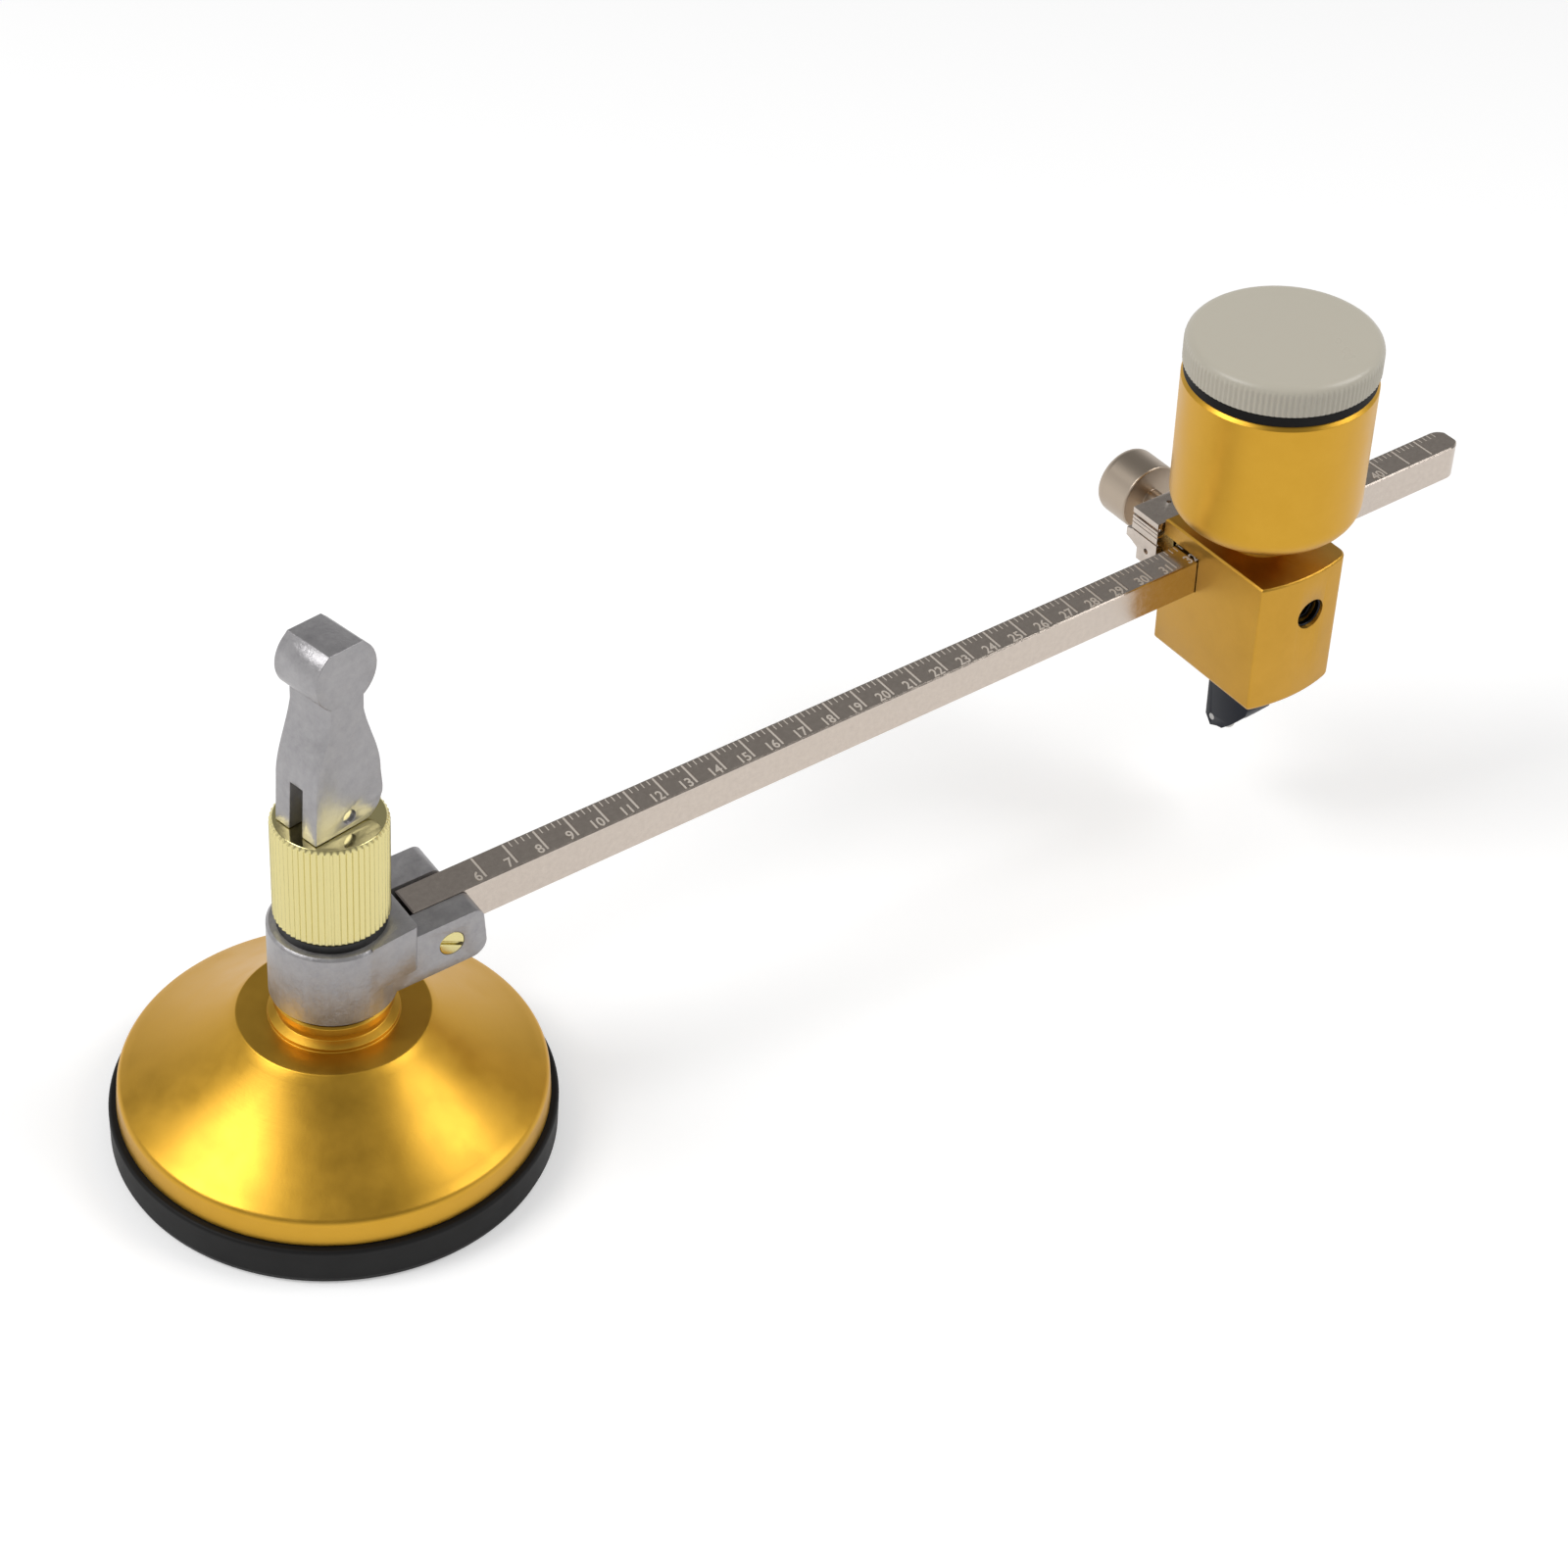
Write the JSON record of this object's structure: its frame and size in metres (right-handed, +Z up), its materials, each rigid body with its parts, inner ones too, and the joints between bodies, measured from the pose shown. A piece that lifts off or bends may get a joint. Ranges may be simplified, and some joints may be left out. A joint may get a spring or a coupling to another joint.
{
  "type": "circle cutter",
  "caption": "Suction-cup circle cutter for glass: lever cup, swivelling graduated bar, sliding head with cutting wheel and round handle.",
  "frame": {"origin": "on the ground, at the centre of the suction cup's rim plane, on the post's axis", "axes": "+Z up along the post, +X outwards above the bar, towards the cutting head; +Y completes the right-handed frame, on the thumb screw's side"},
  "size_m": [0.2408, 0.0636, 0.0946],
  "materials": {
    "gold_anodised": "satin anodised gold",
    "black_rubber": "matte",
    "satin_zinc": "satin die casting",
    "nickel_plate": "satin nickel plate",
    "bright_brass": "turned brass",
    "grey_plastic": "moulded",
    "black_plastic": "moulded",
    "black_steel": "blackened",
    "plain_steel": "ground"
  },
  "bodies": {
    "root": {"dome_housing": "gold_anodised", "suction_cup": "black_rubber", "centre_post": "plain_steel", "return_spring": "plain_steel", "thrust_washer": "black_plastic", "seat_washer": "black_plastic"},
    "arm": {"collar_bracket": "satin_zinc", "hinge_screw": "bright_brass", "hinge_washer": "plain_steel"},
    "bar": {"scale_bar": "nickel_plate"},
    "head": {"cutter_block": "gold_anodised", "clamp_bridge": "nickel_plate", "bridge_screws": "plain_steel", "grub_screw": "black_steel", "handle_axle": "plain_steel", "axle_washer": "plain_steel", "axle_nut": "plain_steel"},
    "clamp_slide": {"clamp_pad": "bright_brass"},
    "clamp_knob": {"clamp_screw": "nickel_plate"},
    "holder": {"wheel_holder": "black_steel", "wheel_axle": "plain_steel"},
    "wheel": {"cutting_wheel": "plain_steel"},
    "barrel": {"handle_barrel": "gold_anodised", "barrel_bushes": "bright_brass", "cap_seal": "black_rubber"},
    "cap": {"barrel_cap": "grey_plastic"},
    "rod": {"pull_rod": "plain_steel"},
    "lever": {"cam_lever": "satin_zinc", "lever_pin": "plain_steel"},
    "sleeve": {"knurled_sleeve": "bright_brass"}
  },
  "joints": [
    {"name": "collar_swivel", "type": "hinge", "parent": "root", "child": "arm", "pos_m": [0, 0, 0.032], "axis": [0, 0, 1], "continuous": true},
    {"name": "bar_tilt", "type": "hinge", "parent": "arm", "child": "bar", "pos_m": [0.01467, 0, 0.03264], "axis": [0, 1, 0], "range_deg": [-9, 12]},
    {"name": "head_slide", "type": "slide", "parent": "bar", "child": "head", "axis": [0.9941, 0, 0.1084], "range_m": [-0.106, 0.036]},
    {"name": "clamp_travel", "type": "slide", "parent": "head", "child": "clamp_slide", "axis": [0, 1, 0], "range_m": [0, 0.0012]},
    {"name": "clamp_turn", "type": "hinge", "parent": "clamp_slide", "child": "clamp_knob", "pos_m": [0.15899, 0.015, 0.04953], "axis": [0, 1, 0], "range_deg": [0, 617]},
    {"name": "holder_swivel", "type": "hinge", "parent": "head", "child": "holder", "pos_m": [0.16236, -0.0064, 0.03154], "axis": [-0.1084, 0, 0.9941], "range_deg": [-20, 20]},
    {"name": "wheel_spin", "type": "hinge", "parent": "holder", "child": "wheel", "pos_m": [0.16383, -0.0032, 0.01802], "axis": [0.9941, 0, 0.1084], "continuous": true},
    {"name": "handle_spin", "type": "hinge", "parent": "head", "child": "barrel", "pos_m": [0.15917, -0.0064, 0.06077], "axis": [-0.1084, 0, 0.9941], "continuous": true},
    {"name": "cap_lift", "type": "slide", "parent": "barrel", "child": "cap", "axis": [-0.1084, 0, 0.9941], "range_m": [0, 0.025]},
    {"name": "rod_lift", "type": "slide", "parent": "root", "child": "rod", "axis": [0, 0, 1], "range_m": [0, 0.00385], "deforming": ["suction_cup", "return_spring"]},
    {"name": "lever_tip", "type": "hinge", "parent": "rod", "child": "lever", "pos_m": [0, 0, 0.0581], "axis": [-0.2419, 0.9703, 0], "range_deg": [0, 90]},
    {"name": "sleeve_turn", "type": "hinge", "parent": "root", "child": "sleeve", "pos_m": [0, 0, 0.048], "axis": [0, 0, 1], "continuous": true}
  ],
  "couplings": [
    {"joint": "clamp_travel", "follows": "clamp_turn", "m_per_rad": 0.0001114},
    {"joint": "rod_lift", "follows": "lever_tip", "m_per_rad": 0.0024509}
  ]
}
